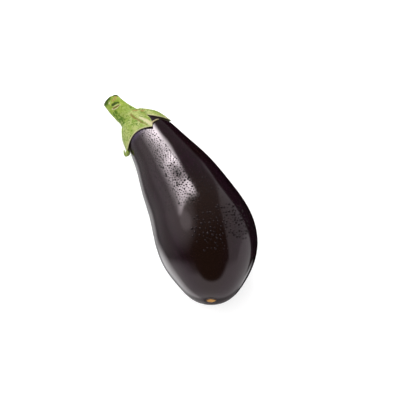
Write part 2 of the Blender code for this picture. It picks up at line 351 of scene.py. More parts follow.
def fruit_piece():
    """The fruit's skin: faint swells and lengthwise streaks, the dimple, and the pressed resting spot."""
    turns = np.linspace(0, math.pi, FRUIT_RINGS + 1)[1:-1]
    shares = (0.5 - 0.5 * np.cos(turns))[:, None]
    angles = np.linspace(0, 2 * math.pi, FRUIT_SIDES, endpoint=False)[None, :]
    points, normals = skin_frame(shares, angles)
    waves = ripple(points * np.array([0.6, 1, 1]), WAVE_SIZE, 1) * WAVE_HEIGHT
    streaks = ripple(points * np.array([0.12, 1, 1]), STREAK_SIZE, 2) * STREAK_HEIGHT
    ends = np.sin(math.pi * np.clip(shares * 1.2, 0, 1)) ** 0.5 + 0 * angles
    points = points + normals * ((waves + streaks) * ends)[..., None]
    points = points - dimple(points, shares)
    level = lying(points)
    level[..., 2] = np.maximum(level[..., 2], 0)
    past_edge = np.interp(shares, REACH_SHARES, REACHES) - calyx_edge_reach(angles[0])[None, :]
    near_calyx = smoothstep(1 - (shares - CLEFT_SHARE) / CLEFT_FADE)
    looks = {
        "shade": smoothstep(1 - past_edge / SHADE_REACH) * bump(angles - SHADE_ANGLE, SHADE_WIDTH),
        "belly": smoothstep(np.sin(angles) * 4 - 3) * smoothstep(shares * 5 - 2),
        # painted shade: the gloss is dulled here, where the calyx's shadow falls
        "cleft_painted_shade": near_calyx * bump(angles - CLEFT_ANGLE, CLEFT_WIDTH),
    }
    end, facing = blossom_end()
    return grid_object("eggplant_skin", level, lying(np.zeros(3)), lying(end - facing * DIMPLE_DEPTH), looks)


def blossom_end():
    """The centreline's end and the way that it faces."""
    heading = heading_at(1.0)
    return np.array([*LINE[-1], 0.0]), np.array([math.cos(heading), math.sin(heading), 0.0])


def dimple(points, shares):
    """How far the blossom end's dimple, and the groove round the scar, move each point inwards."""
    end, facing = blossom_end()
    offset = points - end
    across = np.linalg.norm(offset - (offset @ facing)[..., None] * facing, axis=-1)
    depth = DIMPLE_DEPTH * bump(across, DIMPLE_RADIUS)
    depth += GROOVE_DEPTH * bump(across - SCAR_RADIUS, GROOVE_WIDTH)
    return (depth * smoothstep(shares * 4 - 3))[..., None] * facing


# Water drops. A zone is shares from and to, middle angle at each, half width in degrees, then the drops'
# greatest count, and their least and greatest radius and least spacing in mm.
DROP_ZONES = (
    ((0.10, 0.37), (106, 104), 13, 230, (0.52, 0.86), 1.85),
    ((0.36, 0.62), (103, 98), 13, 230, (0.58, 1.08), 2.1),
    ((0.12, 0.62), (117, 111), 17, 240, (0.30, 0.50), 1.45),
    ((0.42, 0.60), (75, 74), 11, 34, (0.50, 0.90), 2.4),
    ((0.69, 0.85), (82, 84), 22, 60, (0.60, 1.15), 2.6),
    ((0.66, 0.80), (56, 50), 20, 75, (0.60, 1.20), 2.3),
    ((0.45, 0.85), (80, 70), 30, 60, (0.25, 0.45), 2.0),
)
DROP_RISE = 0.85
DROP_SINK = 0.06 * MM
DROP_SIDES = 12
DROP_RINGS = 5
DROP_TRIES = 50
FAR_AWAY = (9.0, 9.0, 9.0)


def drop_places(seeded):
    """A share, an angle and a radius for every drop, each at its zone's least spacing from those before."""
    places, spots = [], np.array([FAR_AWAY])
    for (start, end), (first, last), half, count, (small, large), spacing in DROP_ZONES:
        t = seeded.random(count * DROP_TRIES)
        offset = seeded.normal(0, 0.5, len(t))
        kept = (abs(offset) < 1) & (seeded.random(len(t)) < np.sin(math.pi * t) ** 0.4)
        t, offset = t[kept], offset[kept]
        shares = start + (end - start) * t
        angles = np.radians(first + (last - first) * t + offset * half)
        radii = (small + (large - small) * seeded.random(len(t)) ** 2) * MM
        placed = 0
        for share, angle, radius, spot in zip(shares, angles, radii, skin_frame(shares, angles)[0]):
            if placed < count and np.linalg.norm(spots - spot, axis=1).min() > spacing * MM:
                spots = np.vstack([spots, spot])
                places.append((share, angle, radius))
                placed += 1
    return places


def drops_piece():
    """Fine water drops: small domes, sunk a little into the skin."""
    seeded = np.random.default_rng(SEED)
    points, faces = [], []
    turns = np.linspace(0, 2 * math.pi, DROP_SIDES, endpoint=False)
    for share, angle, radius in drop_places(seeded):
        spot, normal = skin_frame(share, angle)
        side = np.cross(normal, [1.0, 0.0, 0.0])
        side /= np.linalg.norm(side)
        other = np.cross(normal, side)
        lobed = 1 + 0.10 * np.sin(2 * turns + seeded.random() * 6)
        lobed += 0.05 * np.sin(3 * turns + seeded.random() * 6)
        out = side * np.cos(turns)[:, None] + other * np.sin(turns)[:, None]
        base = len(points)
        rise = radius * DROP_RISE * seeded.uniform(0.8, 1.1)
        for k in range(DROP_RINGS):
            slope = math.pi / 2 * k / DROP_RINGS
            ring = spot + out * (radius * math.cos(slope) * lobed)[:, None]
            points += list(ring + normal * (rise * math.sin(slope) - DROP_SINK))
        points += [spot + normal * (rise - DROP_SINK), spot - normal * DROP_SINK]
        crown, foot = len(points) - 2, len(points) - 1
        for k in range(DROP_RINGS - 1):
            for j in range(DROP_SIDES):
                a, b = base + k * DROP_SIDES + j, base + k * DROP_SIDES + (j + 1) % DROP_SIDES
                faces.append((a, b, b + DROP_SIDES, a + DROP_SIDES))
        for j in range(DROP_SIDES):
            a, b = base + j, base + (j + 1) % DROP_SIDES
            top = (DROP_RINGS - 1) * DROP_SIDES
            faces += [(a + top, b + top, crown), (b, a, foot)]
    piece = mesh_object("water_drops", lying(np.array(points)).tolist(), faces)
    face_out(piece)
    return piece


# The calyx and the stem.
def calyx_columns():
    """The calyx's edge, column by column: edge angle, reach, keel, curl, thickness and stem angle."""
    found = []
    for i, lobe in enumerate(LOBES):
        found += flank(lobe, NOTCHES[i - 1], False, FULLER_FLANK if i == FULLER_LOBE else 0.0)
        found += flank(lobe, NOTCHES[i], True)
    return [np.array(values) for values in zip(*found)]


def flank(lobe, notch, from_tip, fuller=0.0):
    """The columns from a notch to a lobe's tip, or back from the tip, with a margin that may be fuller."""
    tip_angle, tip_reach, curl, thickness = lobe
    notch_angle, notch_reach, power = notch
    turn = (tip_angle - notch_angle + 180) % 360 - 180
    samples = np.linspace(0, 1, EDGE_SAMPLES)
    reaches = notch_reach + (tip_reach - notch_reach) * samples**power
    lengths = np.hypot(np.diff(reaches), np.radians(abs(turn)) / (EDGE_SAMPLES - 1) * NECK_RADIUS)
    distance = np.concatenate([[0], np.cumsum(lengths)])
    found = []
    for k in range(FLANK_COLUMNS):
        t = 1 - k / FLANK_COLUMNS if from_tip else k / FLANK_COLUMNS
        s = float(np.interp(t * distance[-1], distance, samples))
        reach = notch_reach + (tip_reach - notch_reach) * s**power
        reach += fuller * math.sin(math.pi * s**0.8)
        edge_angle = math.radians(notch_angle + turn * s)
        stem_angle = math.radians(notch_angle + turn * t)
        found.append((edge_angle, reach * MM, s, curl * MM, thickness * MM, stem_angle))
    return found


EDGE_ANGLE, EDGE_REACH, KEEL, CURL, THICKNESS, STEM_ANGLE = calyx_columns()
BASE_THICKNESS = NOTCH_THICKNESS + (THICKNESS - NOTCH_THICKNESS) * smoothstep(KEEL)
FLARE_END = np.minimum(FLARE_REACH, FLARE_SHARE * EDGE_REACH)


def calyx_edge_reach(angles):
    """The calyx's reach at any angles, for the violet skin beside it."""
    order = np.argsort(EDGE_ANGLE % (2 * math.pi))
    return np.interp(
        angles % (2 * math.pi), (EDGE_ANGLE % (2 * math.pi))[order], EDGE_REACH[order], period=2 * math.pi
    )


def stem_line(heights):
    """The stem's centre, its way, and its side and top directions at an array of heights."""
    fine = np.linspace(0, STEM_LENGTH, STEM_STEPS + 1)
    ways = stem_way((fine[:-1] + fine[1:]) / 2 / STEM_LENGTH)
    path = np.vstack([np.zeros(3), np.cumsum(ways * STEM_LENGTH / STEM_STEPS, axis=0)])
    centre = np.stack([np.interp(heights, fine, path[:, k]) for k in range(3)], axis=-1)
    way = stem_way(heights / STEM_LENGTH)
    side = np.cross(np.array([0.0, 0.0, 1.0]), -way)
    side /= np.linalg.norm(side, axis=-1, keepdims=True)
    return centre, way, side, np.cross(-way, side)


def stem_way(share):
    heading = np.radians(STEM_FOOT_HEADING + (STEM_TIP_HEADING - STEM_FOOT_HEADING) * share)
    rise = np.radians(STEM_RISE * share)
    return np.stack(
        [-np.cos(heading) * np.cos(rise), -np.sin(heading) * np.cos(rise), np.sin(rise)], axis=-1
    )


def stem_radius(height):
    share = np.clip(height / STEM_LENGTH, 0, 1)
    return STEM_FOOT_RADIUS + (STEM_TIP_RADIUS - STEM_FOOT_RADIUS) * share**0.8


def stem_surface(heights, inset=0.0):
    """Rings on the stem's side, one for each height, with low ridges that run on from the lobes' midribs."""
    heights = np.asarray(heights, float)
    centre, _, side, top = stem_line(heights)
    radius = stem_radius(heights)[:, None] * (1 + STEM_RIDGE * (2 * KEEL - 1))[None, :]
    radius = radius - np.broadcast_to(inset, radius.shape)
    out = side[:, None] * np.cos(STEM_ANGLE)[None, :, None] + top[:, None] * np.sin(STEM_ANGLE)[None, :, None]
    return centre[:, None] + out * radius[..., None]


def lobe_lift(share):
    """How far the inner and outer faces stand off the skin, for a column of shares."""
    underside = smoothstep(-0.1 - 1.6 * np.sin(EDGE_ANGLE))
    rise = KEEL_RISE * KEEL * (1 - share) ** 0.8
    thick = EDGE_THICKNESS + (BASE_THICKNESS - EDGE_THICKNESS) * (1 - share) ** 1.3 + rise
    thick = thick * (1 - (1 - UNDERSIDE_SHARE) * underside)
    inner = SKIN_GAP + CURL * KEEL**3 * share**5
    return inner, inner + np.maximum(thick, EDGE_THICKNESS * 0.9)


def calyx_surface(share, outer):
    """Rings on the lobes' outer or inner face, from the flare's end (0) to the edge (1)."""
    share = np.asarray(share, float)[:, None]
    angle = STEM_ANGLE + (EDGE_ANGLE - STEM_ANGLE) * smoothstep(share)
    inner_lift, outer_lift = lobe_lift(share)
    reach = FLARE_END + (EDGE_REACH - FLARE_END) * share
    return over_shoulder(reach, angle, outer_lift if outer else inner_lift)


def flare_surface(shares):
    """Rings on the fillet from the stem's foot (0) to the flare's end (1)."""
    bulge = FOOT_BULGE * (NOTCH_THICKNESS - BASE_THICKNESS)
    start, below = stem_surface([STEM_FOOT, STEM_FOOT * 0.45], inset=np.stack([0 * bulge, bulge]))
    end, next_ring = calyx_surface([0.0, 0.1], True)
    onward = next_ring - end
    pull = (FLARE_PULL * BASE_THICKNESS / NOTCH_THICKNESS)[:, None]
    before = end - onward / np.linalg.norm(onward, axis=-1, keepdims=True) * pull
    t = np.asarray(shares)[:, None, None]
    u = 1 - t
    return start * u**3 + below * 3 * u * u * t + before * 3 * u * t * t + end * t**3


# Marks on the calyx and stem: layer, height in mm, half width in mm at each end, then the points. A point
# is a height and an angle on the stem, or a reach, an angle and a lift over the shoulder.
MARKS = (
    ("dark", -0.6, 1.7, 1.3, ((28.6, 120), (27.8, 100), (26.9, 81))),
    ("brown", -0.5, 1.1, 1.0, ((25.8, 131), (24.5, 113), (23.5, 96))),
    ("cream", 0.3, 0.6, 0.6, ((26.3, 142), (25.9, 122), (24.9, 103), (23.0, 86))),
    ("cream", 0.3, 0.6, 0.6, ((26.3, 142), (24.4, 130), (22.9, 112), (23.0, 86))),
    ("tan", 0.0, 1.1, 1.5, ((34.4, 55), (32.4, 76), (31.6, 96))),
    ("cream", 0.15, 0.8, 0.7, ((32.2, 132), (32.6, 120))),
    # Painted shade: the two dark marks over the stem's tip, on its upper left and upper right.
    ("dark", 0.0, 1.5, 1.3, ((35.0, 160), (35.8, 125), (36.3, 100))),
    ("dark", 0.0, 1.2, 1.4, ((36.4, 70), (35.6, 45), (34.6, 20))),
    # Mottle, and painted shade: these two darker strips run along the stem's left side and behind its tip.
    ("mottle_and_shade", 0.0, 2.4, 2.2, ((35.5, 165), (33.0, 135), (33.5, 110))),
    ("mottle_and_shade", 0.0, 4.0, 3.5, ((21.0, 150), (14.0, 155), (8.0, 160))),
    ("mottle_and_shade", 0.0, 1.8, 1.5, ((16.0, 52), (12.5, 58))),
    ("brown", -0.45, 1.3, 0.8, ((10.5, 111, 7.8), (19.5, 109, 4.0), (23.1, 105, 2.9), (28.4, 103, 1.9))),
    ("brown", -0.3, 0.7, 0.4, ((28.4, 103, 1.9), (32.0, 99, 1.5), (35.6, 97, 1.2))),
    ("cream", 0.0, 0.9, 2.4, ((23.5, 98, 3.0), (31.6, 92, 1.8), (36.5, 89, 0.9))),
    ("pale", 0.0, 1.3, 2.2, ((20.2, 176, 5.3), (24.0, 180, 4.5), (29.0, 188, 4.2), (34.0, 187, 3.6))),
    ("tan", 0.1, 1.4, 1.1, ((8.8, 94, 8.9), (11.3, 86, 7.3), (15.0, 68, 4.0))),
    ("mottle_and_shade", 0.0, 3.0, 3.4, ((27.0, 22, 0.8), (31.0, 8, 0.8))),
    ("dark", 0.0, 1.3, 1.8, ((29.3, 14, 0.6), (31.0, 8, 0.6))),
)
MARK_LAYERS = ("dark", "brown", "tan", "cream", "pale", "mottle_and_shade")
MARK_DEPTH = 3.0 * MM
BUMP_SIZE = 2.4 * MM
BUMP_HEIGHT = 0.09 * MM
RIB_SIZE = 1.5 * MM
RIB_HEIGHT = 0.12 * MM
MARGIN_START = 0.3 * MM
MARGIN = 0.85 * MM


def mark_place(point):
    if len(point) == 3:
        reach, angle, lift = point
        return over_shoulder(reach * MM, math.radians(angle), lift * MM)
    height, angle = point[0] * MM, math.radians(point[1])
    centre, _, side, top = stem_line(np.array([height]))
    return centre[0] + (side[0] * math.cos(angle) + top[0] * math.sin(angle)) * stem_radius(height)


def mark_mask(points, out, path, start, end):
    """1 on a line through the path's points and 0 beyond its half width over the surface, softly."""
    path = np.array([mark_place(point) for point in path])
    ratio = np.full(points.shape[:-1], 9.0)
    count = len(path) - 1
    for k in range(count):
        a, b = path[k], path[k + 1]
        t = np.clip((points - a) @ (b - a) / ((b - a) @ (b - a)), 0, 1)
        width = (start + (end - start) * (k + t) / count) * MM
        offset = points - a - t[..., None] * (b - a)
        above = (offset * out).sum(axis=-1)
        aside = np.linalg.norm(offset - above[..., None] * out, axis=-1)
        ratio = np.minimum(ratio, aside / width + 9 * (abs(above) > MARK_DEPTH))
    return 1 - smoothstep((ratio - 0.55) / 0.6)


def grid_normals(rings, sample):
    """The way straight out at each point; in the sample ring, out is away from the ring's middle."""
    along = np.gradient(rings, axis=0)
    around = np.roll(rings, -1, 1) - np.roll(rings, 1, 1)
    normals = np.cross(around, along)
    normals /= np.linalg.norm(normals, axis=-1, keepdims=True) + 1e-15
    from_middle = rings[sample] - rings[sample].mean(axis=0)
    return normals if (normals[sample] * from_middle).sum() > 0 else -normals


def calyx_piece():
    """The calyx and stem in one closed mesh, with the values that its material reads at each point."""
    cut = stem_surface(np.full(len(CUT_INSETS), STEM_LENGTH), inset=np.array(CUT_INSETS)[:, None] * MM)
    heights = np.linspace(STEM_LENGTH - STEM_RIM, STEM_FOOT, STEM_RINGS, endpoint=False)
    stem = stem_surface(heights)
    flare = flare_surface(np.linspace(0, 1, FLARE_RINGS, endpoint=False))
    shares = np.linspace(0, 1, LOBE_RINGS)
    outer = calyx_surface(shares, True)
    inner = calyx_surface(np.linspace(1, 0, LINING_RINGS), False)
    gap = np.full(len(FLARE_END), SKIN_GAP)
    core = np.stack([over_shoulder(FLARE_END * part, STEM_ANGLE, gap) for part in (0.66, 0.33)])
    rings = np.concatenate([cut, stem, flare, outer, rounded_edge(outer, inner), inner, core])
    side = len(cut)
    lobes = side + len(stem) + len(flare)
    rim = lobes + len(outer)
    out = grid_normals(rings, side + 20)
    layers, height = marks_on(rings, out)
    layers |= calyx_zones(rings, shares, side, lobes, rim)
    height += ripple(rings, BUMP_SIZE, 3) * BUMP_HEIGHT
    height += ripple(rings * np.array([0.16, 1, 1]), RIB_SIZE, 4) * RIB_HEIGHT
    relief = np.zeros(len(rings))
    relief[side:lobes] = 1
    relief[lobes:rim] = 1 - smoothstep(shares * 3 - 2)
    relief[side : side + 3] = (0, 0.4, 0.8)
    rings = rings + out * (height * relief[:, None])[..., None]
    first, last = stem_line(np.array([STEM_LENGTH]))[0][0], over_shoulder(0.0, 0.0, SKIN_GAP)
    return grid_object("calyx_and_stem_skin", lying(rings), lying(first), lying(last), layers)


def marks_on(rings, out):
    """How strong each layer of marks is at each point, and how far the marks lift or sink it."""
    layers = {name: np.zeros(rings.shape[:-1]) for name in MARK_LAYERS}
    height = np.zeros(rings.shape[:-1])
    for layer, depth, start_width, end_width, path in MARKS:
        mask = mark_mask(rings, out, path, start_width, end_width)
        layers[layer] = np.maximum(layers[layer], mask)
        height += mask * depth * MM
    return layers, height


def calyx_zones(rings, shares, side, lobes, rim):
    """The lobes' dry margin, the stalk and the cut face. Side, lobes and rim are each part's first ring."""
    margin, stalk, cut = (np.zeros(rings.shape[:-1]) for _ in range(3))
    before_edge = (EDGE_REACH - FLARE_END) * (1 - shares[:, None])
    margin[lobes:rim] = 1 - smoothstep((before_edge - MARGIN_START) / MARGIN)
    margin[rim:] = 1
    stalk[:side] = 1
    stalk[side:lobes] = smoothstep(np.linspace(1.6, 0, lobes - side))[:, None]
    cut[: side + 1] = 1
    return {"margin": margin, "stalk": stalk, "cut": cut}


# The left lobe's hooked tip and a withered strand: radius in mm, then reach, angle and lift of each point.
HOOK = (
    (1.5, 35.6, 173, 1.6),
    (2.3, 37.3, 175, 2.8),
    (1.9, 38.0, 177, 4.2),
    (0.9, 37.2, 176, 5.6),
    (0.4, 33.6, 172, 5.4),
)
STRAND = (
    (0.75, 35.8, 88, 1.2),
    (0.6, 34.2, 81, 1.0),
    (0.5, 33.7, 73, 0.9),
    (0.3, 33.5, 65, 0.7),
)
TUBE_SIDES = 12
TUBE_RINGS = 26


def tube_piece(name, stations):
    """A closed tube that bends through the stations."""
    knots = np.linspace(0, 1, len(stations))
    places = [over_shoulder(reach * MM, math.radians(angle), lift * MM) for _, reach, angle, lift in stations]
    path = np.array(places)
    fine = np.linspace(0, 1, TUBE_RINGS)
    line = np.stack([spline_through(list(zip(knots, path[:, k])))(fine) for k in range(3)], axis=-1)
    radii = np.interp(fine, knots, [station[0] * MM for station in stations])
    radii = radii * np.sqrt(np.clip(1 - (2 * fine - 1) ** 12, 0.05, 1))
    way = np.gradient(line, axis=0)
    way /= np.linalg.norm(way, axis=-1, keepdims=True)
    side = np.cross(way, np.array([0.3, 0.5, 1.0]))
    side /= np.linalg.norm(side, axis=-1, keepdims=True)
    other = np.cross(way, side)
    turns = np.linspace(0, 2 * math.pi, TUBE_SIDES, endpoint=False)
    out = side[:, None] * np.cos(turns)[None, :, None] + other[:, None] * np.sin(turns)[None, :, None]
    rings = line[:, None] + out * radii[:, None, None]
    return grid_object(name, lying(rings), lying(line[0]), lying(line[-1]))


def rounded_edge(outer, inner):
    """Rings that carry the outer face round the rim to the inner one."""
    start, end = outer[-1], inner[0]
    onward = outer[-1] - outer[-2]
    onward /= np.linalg.norm(onward, axis=-1, keepdims=True) + 1e-12
    middle = (start + end) / 2
    half = (start - end) / 2
    bulge = np.linalg.norm(half, axis=-1, keepdims=True)
    turns = np.linspace(0, math.pi, EDGE_RINGS + 2)[1:-1]
    return np.stack([middle + half * math.cos(t) + onward * bulge * math.sin(t) for t in turns])


# The blossom scar.
def scar_piece():
    """The blossom scar: a corky button with crumbs, a pit in the middle and a dark border."""
    end, facing = blossom_end()
    up = np.array([0.0, 0.0, 1.0])
    side = np.cross(up, facing)
    angles = np.linspace(0, 2 * math.pi, SCAR_SIDES, endpoint=False)
    out = side * np.cos(angles)[:, None] + up * np.sin(angles)[:, None]
    across, upward = abs(np.cos(angles)), abs(np.sin(angles)) / SCAR_HEIGHT_SHARE
    outline = (across**SCAR_OUTLINE_POWER + upward**SCAR_OUTLINE_POWER) ** (-1 / SCAR_OUTLINE_POWER)
    ragged = 1.08 + 0.03 * np.sin(3 * angles + 1) + 0.03 * np.sin(7 * angles)
    rim = SCAR_RADIUS * outline * ragged
    rings = [end + out * rim[:, None] - facing * (DIMPLE_DEPTH + SOCKET_DEPTH * 0.6)]
    for share in SCAR_SHARES:
        dome = math.sqrt(1 - min(share, 0.999) ** 4)
        pit = PIT_DEPTH * math.exp(-((share / PIT_SHARE) ** 2))
        depth = DIMPLE_DEPTH + SCAR_SINK - (SCAR_RISE + SCAR_SINK) * dome + pit
        points = end + out * (rim * share)[:, None] - facing * depth
        crumbs = sum(ripple(points, size * MM, seed) * height * MM for size, height, seed in CRUMBS)
        rings.append(points + facing * (crumbs * dome)[:, None])
    first, last = rings[0].mean(axis=0), rings[-1].mean(axis=0)
    border = np.append(0.0, smoothstep(SCAR_SHARES * 4 - 2.8))[:, None]
    return grid_object(
        "blossom_scar_cork", lying(np.stack(rings)), lying(first), lying(last), {"border": border}
    )


# Materials.
def new_material(name, colour, roughness):
    material = bpy.data.materials.new(name)
    material.use_nodes = True
    shader = material.node_tree.nodes["Principled BSDF"]
    shader.inputs["Base Color"].default_value = (*colour, 1)
    shader.inputs["Roughness"].default_value = roughness
    return material, shader


class NodeMaker:
    """Adds nodes to one tree. A value is a number or another node's output."""

    def __init__(self, tree):
        self.nodes, self.links = tree.nodes, tree.links

    def link(self, value, socket):
        self.links.new(value, socket)

    def ramp(self, value, low, high, bottom=0.0, top=1.0, shape="SMOOTHSTEP"):
        """From bottom, where the value is low or less, to top, where it is high or more."""
        node = self.nodes.new("ShaderNodeMapRange")
        node.interpolation_type = shape
        self.link(value, node.inputs["Value"])
        for name, number in (("From Min", low), ("From Max", high), ("To Min", bottom), ("To Max", top)):
            node.inputs[name].default_value = number
        return node.outputs["Result"]

    def math(self, operation, first, second):
        node = self.nodes.new("ShaderNodeMath")
        node.operation = operation
        for socket, value in zip(node.inputs, (first, second)):
            if isinstance(value, (int, float)):
                socket.default_value = value
            else:
                self.link(value, socket)
        return node.outputs[0]


class Paint(NodeMaker):
    """Nodes that paint one material."""

    def __init__(self, material, shader):
        super().__init__(material.node_tree)
        self.shader = shader
        self.place = self.nodes.new("ShaderNodeTexCoord").outputs["Object"]

    def stretched(self, scale):
        node = self.nodes.new("ShaderNodeMapping")
        self.link(self.place, node.inputs["Vector"])
        node.inputs["Scale"].default_value = scale
        return node.outputs["Vector"]

    def noise(self, size, detail=3.0, rough=0.5, scale=(1, 1, 1)):
        """Noise from 0 to 1 with features about as wide as size."""
        node = self.nodes.new("ShaderNodeTexNoise")
        self.link(self.stretched(scale), node.inputs["Vector"])
        node.inputs["Scale"].default_value = 1 / size
        node.inputs["Detail"].default_value = detail
        node.inputs["Roughness"].default_value = rough
        return node.outputs["Fac"]

    def attribute(self, name):
        node = self.nodes.new("ShaderNodeAttribute")
        node.attribute_name = name
        return node.outputs["Fac"]

    def mix(self, share, first, second):
        """Colours mixed by a share; each colour is a triple or another node's output."""
        node = self.nodes.new("ShaderNodeMix")
        node.data_type = "RGBA"
        self.link(share, node.inputs[0])
        for socket, value in ((node.inputs[6], first), (node.inputs[7], second)):
            if isinstance(value, tuple):
                socket.default_value = (*value, 1)
            else:
                self.link(value, socket)
        return node.outputs[2]

    def bump(self, value, depth, strength=1.0):
        node = self.nodes.new("ShaderNodeBump")
        self.link(value, node.inputs["Height"])
        node.inputs["Distance"].default_value = depth
        node.inputs["Strength"].default_value = strength
        self.link(node.outputs["Normal"], self.shader.inputs["Normal"])


SKIN_DARK = (0.0048, 0.0016, 0.0020)
SKIN_PURPLE = (0.0088, 0.0020, 0.0054)
SKIN_BROWN = (0.0070, 0.0026, 0.0013)
SKIN_SHADE = (0.045, 0.030, 0.070)
SKIN_GLOSS_TINT = (1.0, 0.86, 0.92)


def skin_material():
    material, shader = new_material("eggplant_skin", SKIN_DARK, 0.11)
    shader.inputs["Specular Tint"].default_value = (*SKIN_GLOSS_TINT, 1)
    paint = Paint(material, shader)
    clouds = paint.noise(28 * MM, 3, 0.5, (0.5, 1, 1))
    streaks = paint.noise(2.2 * MM, 4, 0.6, (0.10, 1, 1))
    colour = paint.mix(paint.ramp(streaks, 0.30, 0.70), SKIN_DARK, SKIN_PURPLE)
    colour = paint.mix(paint.ramp(clouds, 0.42, 0.66, 0.0, 0.4), colour, SKIN_BROWN)
    colour = paint.mix(paint.attribute("belly"), colour, SKIN_BROWN)
    violet = paint.math("MULTIPLY", paint.attribute("shade"), paint.ramp(clouds, 0.3, 0.6, 0.5, 1.0))
    paint.link(paint.mix(violet, colour, SKIN_SHADE), shader.inputs["Base Color"])
    # Painted shade: less and blurrier gloss where the calyx's shadow falls between two lobes.
    painted_shade = paint.attribute("cleft_painted_shade")
    gloss = paint.ramp(streaks, 0.3, 0.7, 0.095, 0.135)
    paint.link(paint.math("ADD", gloss, paint.math("MULTIPLY", painted_shade, 0.4)), shader.inputs["Roughness"])
    paint.link(paint.ramp(painted_shade, 0.0, 1.0, 0.5, 0.12), shader.inputs["Specular IOR Level"])
    paint.bump(paint.noise(0.7 * MM, 2, 0.5), 0.004 * MM)
    return material


def drop_material():
    """Water on almost black skin: as dark as the skin under it, and glossier."""
    material, shader = new_material("water", SKIN_DARK, 0.04)
    shader.inputs["IOR"].default_value = 1.33
    shader.inputs["Specular Tint"].default_value = (*SKIN_GLOSS_TINT, 1)
    paint = Paint(material, shader)
    paint.link(paint.ramp(paint.noise(3 * MM), 0.3, 0.7, 0.03, 0.06), shader.inputs["Roughness"])
    return material


CALYX_GREEN = (0.180, 0.248, 0.036)
CALYX_LIGHT = (0.285, 0.320, 0.100)
CALYX_DEEP = (0.062, 0.125, 0.008)
STALK_GREEN = (0.178, 0.255, 0.024)
STALK_LIGHT = (0.280, 0.345, 0.058)
DARK_GREEN = (0.016, 0.036, 0.002)
CREASE_BROWN = (0.135, 0.088, 0.011)
DRY_TAN = (0.300, 0.190, 0.060)
DRY_CREAM = (0.430, 0.395, 0.225)
PALE_GREEN = (0.390, 0.410, 0.290)


def calyx_material():
    material, shader = new_material("calyx_green", CALYX_GREEN, 0.5)
    shader.inputs["Specular IOR Level"].default_value = 0.17
    paint = Paint(material, shader)
    coarse = paint.noise(7 * MM, 3, 0.5)
    fine = paint.noise(1.9 * MM, 3, 0.6)
    streaks = paint.noise(1.6 * MM, 3, 0.55, (0.22, 1, 1))
    leaf = paint.mix(paint.ramp(coarse, 0.36, 0.62), CALYX_GREEN, CALYX_LIGHT)
    leaf = paint.mix(paint.ramp(fine, 0.49, 0.63, 0.0, 0.85), leaf, CALYX_DEEP)
    stalk = paint.mix(paint.ramp(streaks, 0.40, 0.64), STALK_GREEN, STALK_LIGHT)
    stalk = paint.mix(paint.ramp(fine, 0.52, 0.68, 0.0, 0.6), stalk, CALYX_DEEP)
    colour = paint.mix(paint.attribute("stalk"), leaf, stalk)
    patchy = paint.ramp(fine, 0.38, 0.56)
    # Mottle, which on the stem's left side is also painted shade.
    colour = paint.mix(paint.math("MULTIPLY", paint.attribute("mottle_and_shade"), patchy), colour, CALYX_DEEP)
    for layer, amount, tone in (
        ("pale", 0.8, PALE_GREEN),
        ("margin", 0.75, DRY_CREAM),
        ("cream", 0.9, DRY_CREAM),
        ("cut", 0.6, PALE_GREEN),
        ("tan", 0.8, DRY_TAN),
        ("brown", 0.8, CREASE_BROWN),
        # the dark marks, which over the stem's tip are painted shade
        ("dark", 0.9, DARK_GREEN),
    ):
        streaky = paint.ramp(streaks, 0.25, 0.5, amount * 0.6, amount)
        share = paint.math("MULTIPLY", paint.attribute(layer), streaky)
        colour = paint.mix(share, colour, tone)
    paint.link(colour, shader.inputs["Base Color"])
    paint.link(paint.ramp(fine, 0.3, 0.7, 0.42, 0.62), shader.inputs["Roughness"])
    paint.bump(fine, 0.12 * MM, 0.6)
    return material


def dry_material():
    material, shader = new_material("dry_strand", DRY_CREAM, 0.7)
    paint = Paint(material, shader)
    grain = paint.noise(0.8 * MM, 3, 0.6)
    paint.link(paint.mix(paint.ramp(grain, 0.4, 0.7), DRY_CREAM, DRY_TAN), shader.inputs["Base Color"])
    return material


SCAR_TAN = (0.400, 0.195, 0.040)
SCAR_BROWN = (0.150, 0.062, 0.014)
SCAR_BORDER = (0.030, 0.012, 0.006)


def scar_material():
    material, shader = new_material("scar_cork", SCAR_TAN, 0.85)
    paint = Paint(material, shader)
    grain = paint.noise(0.9 * MM, 4, 0.65)
    cork = paint.mix(paint.ramp(grain, 0.45, 0.7), SCAR_TAN, SCAR_BROWN)
    border = paint.math("MULTIPLY", paint.attribute("border"), 0.85)
    paint.link(paint.mix(border, cork, SCAR_BORDER), shader.inputs["Base Color"])
    paint.bump(grain, 0.15 * MM, 0.7)
    return material


# The studio.
FLOOR_SIZE = 12.0
FLOOR_WHITE = (0.86, 0.86, 0.86)
FLOOR_GLOW = 0.3
LAMP_SIZE = 5.0
LAMP_HEIGHT = 1.6
LAMP_STRENGTH = 1.1
CEILING = 0.045
BACK_WALL = 0.2
# What the skin mirrors: azimuth, elevation, radius and soft edge in degrees, then strength.
WINDOW = (-17, -22, 77, 5, 1.15)
GLOWS = (
    (82, -1, 50, 3, 0.72),
    (60, -15, 26, 5, 1.15),
    (277, -58, 26, 8, 2.4),
    (226, -4, 36, 14, 0.48),
    (222, 25, 28, 20, 1.0),
    (214, -58, 10, 7, 0.9),
    (222, 39, 13, 7, 1.8),
)
GLINT = (70, -56, 3, 5, 1.3)
SOFTBOX = (190, 5, 36.0, 1.6, 25.0)
# Where the softbox's light changes, from and to: how far a direction points to the left, along the azimuth
# here, or up. A third number is the share of its light that is left, on the left or low down.
SOFTBOX_LEFTWARD = 243
SOFTBOX_RIGHT = (0.09, 0.29)
SOFTBOX_LEFT = (0.34, 0.86, 0.07)
SOFTBOX_FOOT = (0.11, 0.25)
SOFTBOX_LOW = (0.32, 0.47, 0.50)
SOFTBOX_TOP = (0.46, 0.57)
# Where the window's light ends, in the same way.
WINDOW_TOP = (0.50, 0.66)
# Dark things, as the glows, with the share of the light that is left.
SHADES = (
    (117, -41, 36.5, 1.2, 0.02),
    (0, -78, 32, 8, 0.25),
)


def direction(azimuth, elevation):
    a, e = math.radians(azimuth), math.radians(elevation)
    return Vector((math.cos(e) * math.cos(a), math.cos(e) * math.sin(a), math.sin(e)))


